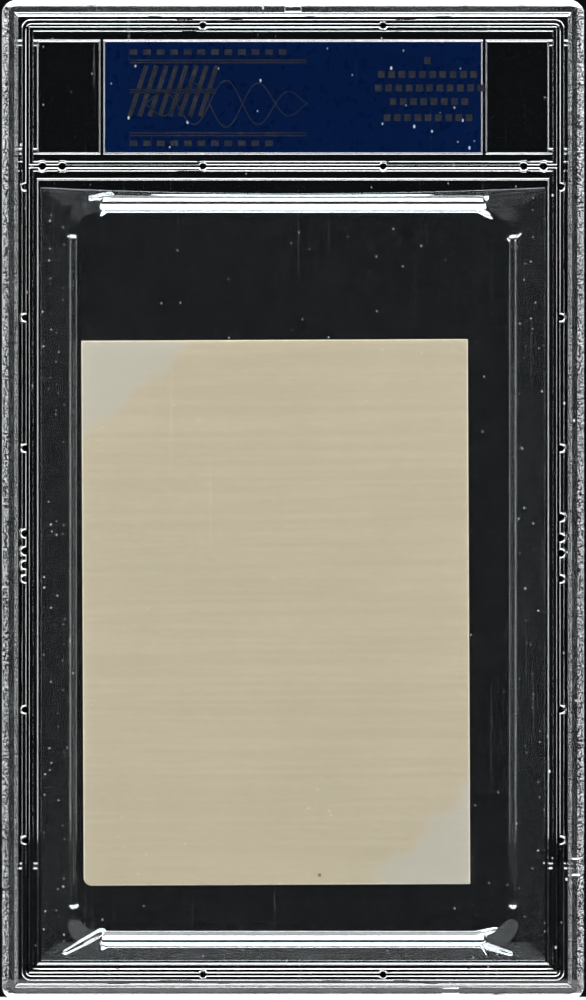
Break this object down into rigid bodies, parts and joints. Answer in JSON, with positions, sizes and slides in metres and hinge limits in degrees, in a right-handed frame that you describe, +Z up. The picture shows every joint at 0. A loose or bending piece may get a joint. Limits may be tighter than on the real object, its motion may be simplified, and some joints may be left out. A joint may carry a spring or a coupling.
{
  "type": "graded card slab",
  "caption": "Sealed clear plastic slab that shows and protects one trading card in a film sleeve under a dark label.",
  "frame": {"origin": "under the middle of the slab, on the surface that its bottom edge stands on", "axes": "+Z up to the label end, +Y towards the slab's front, +X to the right when it is seen from the back"},
  "size_m": [0.0794, 0.0054, 0.1365],
  "materials": {
    "clear_shell": "gloss",
    "clear_film": "gloss",
    "card_stock": "matte",
    "label_paper": "satin",
    "label_foil": "satin"
  },
  "bodies": {
    "slab": {"back_shell": "clear_shell", "front_shell": "clear_shell", "sleeve_back_film": "clear_film", "sleeve_front_film": "clear_film", "label_front_paper": "label_paper", "label_back_foil": "label_foil"},
    "card": {"card": "card_stock"}
  },
  "joints": [
    {"name": "card_shift", "type": "slide", "parent": "slab", "child": "card", "axis": [0, 0, 1], "range_m": [-0.0058, 0.0165]}
  ]
}
